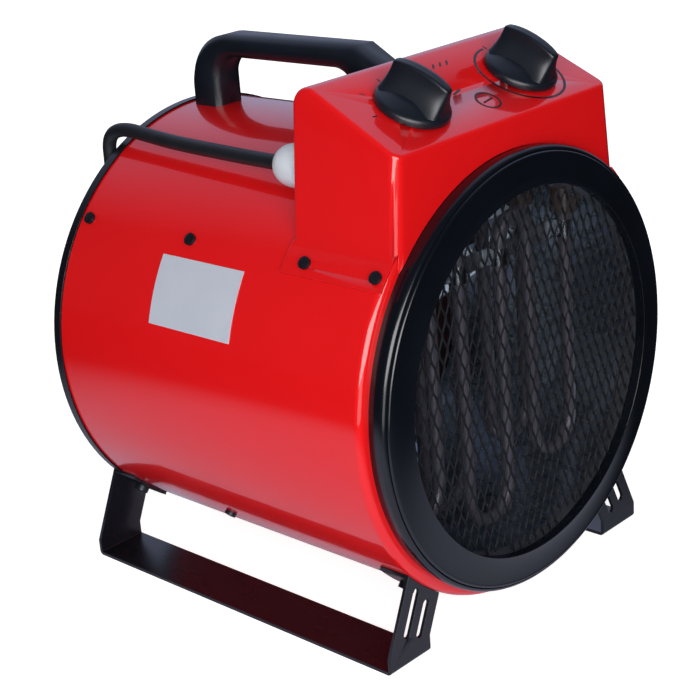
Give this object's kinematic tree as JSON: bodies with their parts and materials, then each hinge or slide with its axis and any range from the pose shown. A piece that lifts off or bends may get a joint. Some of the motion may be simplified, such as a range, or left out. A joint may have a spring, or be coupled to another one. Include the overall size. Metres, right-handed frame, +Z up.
{
  "type": "forced air heater",
  "caption": "Red drum-type forced air heater with a meshed outlet, sloping control box with two knobs, black carrying handle, strip-steel stands and a rubber cord.",
  "frame": {"origin": "centre of the footprint on the floor", "axes": "+X across, outlet faces -Y, +Z up"},
  "size_m": [0.2941, 0.4037, 0.3196],
  "materials": {
    "red_enamel": "gloss",
    "black_gloss": "gloss",
    "black_satin": "satin",
    "black_paint": "satin",
    "mesh_steel": "satin",
    "polished_duct": "polished",
    "zinc_steel": "satin",
    "element_sheath": "satin",
    "ceramic": "matte",
    "copper_wire": "satin",
    "lamination": "satin",
    "moulded_grey": "satin",
    "gland_grey": "satin",
    "silver_plate": "satin",
    "dark_screw": "satin",
    "black_rubber": "matte",
    "wire_cover": "satin",
    "brass_pin": "polished"
  },
  "bodies": {
    "housing": {"drum_shell": "red_enamel", "front_bezel": "black_gloss", "outlet_mesh": "mesh_steel", "mesh_retainer": "zinc_steel", "bezel_screws": "zinc_steel", "inner_duct": "polished_duct", "duct_spacers": "zinc_steel", "element_front": "element_sheath", "element_rear": "element_sheath", "element_bushes": "ceramic", "terminal_insulators": "ceramic", "terminal_studs": "zinc_steel", "element_bars": "zinc_steel", "element_clips": "polished_duct", "thermal_cutout": "moulded_grey", "motor_bracket": "zinc_steel", "motor_front_cover": "zinc_steel", "motor_rear_cover": "zinc_steel", "motor_can": "black_paint", "motor_screws": "zinc_steel", "stator_core": "lamination", "stator_windings": "copper_wire", "shaft_bearings": "brass_pin", "rear_trim": "black_paint", "rear_guard": "black_paint", "control_cover": "red_enamel", "selector_body": "moulded_grey", "thermostat_body": "zinc_steel", "control_screws": "zinc_steel", "cable_gland": "gland_grey", "gland_nut": "gland_grey", "terminal_block": "ceramic", "block_screws": "zinc_steel", "terminal_links": "copper_wire", "terminal_nuts": "zinc_steel", "inner_leads": "wire_cover", "wire_grommet": "black_rubber", "thermostat_bulb": "copper_wire", "bulb_clip": "zinc_steel", "handle": "black_satin", "handle_screws": "zinc_steel", "stand_left": "black_paint", "stand_right": "black_paint", "stand_bolts": "dark_screw", "stand_nuts": "zinc_steel", "drum_screws": "dark_screw", "cover_screws": "dark_screw", "rating_plate": "silver_plate", "cord_run": "black_rubber", "cord_coil": "black_rubber", "plug_body": "black_rubber", "plug_pins": "brass_pin"},
    "fan": {"motor_shaft": "zinc_steel", "rotor_core": "lamination", "fan_impeller": "polished_duct", "fan_nut": "zinc_steel"},
    "selector": {"selector_spindle": "zinc_steel", "selector_knob": "black_satin"},
    "thermostat": {"thermostat_spindle": "zinc_steel", "thermostat_knob": "black_satin"}
  },
  "joints": [
    {"name": "fan_spin", "type": "hinge", "parent": "housing", "child": "fan", "pos_m": [0, 0.00145, 0.1396], "axis": [0, 1, 0], "continuous": true},
    {"name": "selector_turn", "type": "hinge", "parent": "housing", "child": "selector", "pos_m": [-0.0458, -0.09131, 0.29348], "axis": [0, -0.4462, 0.8949], "range_deg": [-90, 90]},
    {"name": "thermostat_turn", "type": "hinge", "parent": "housing", "child": "thermostat", "pos_m": [0.0458, -0.09131, 0.29348], "axis": [0, -0.4462, 0.8949], "range_deg": [-135, 135]}
  ]
}
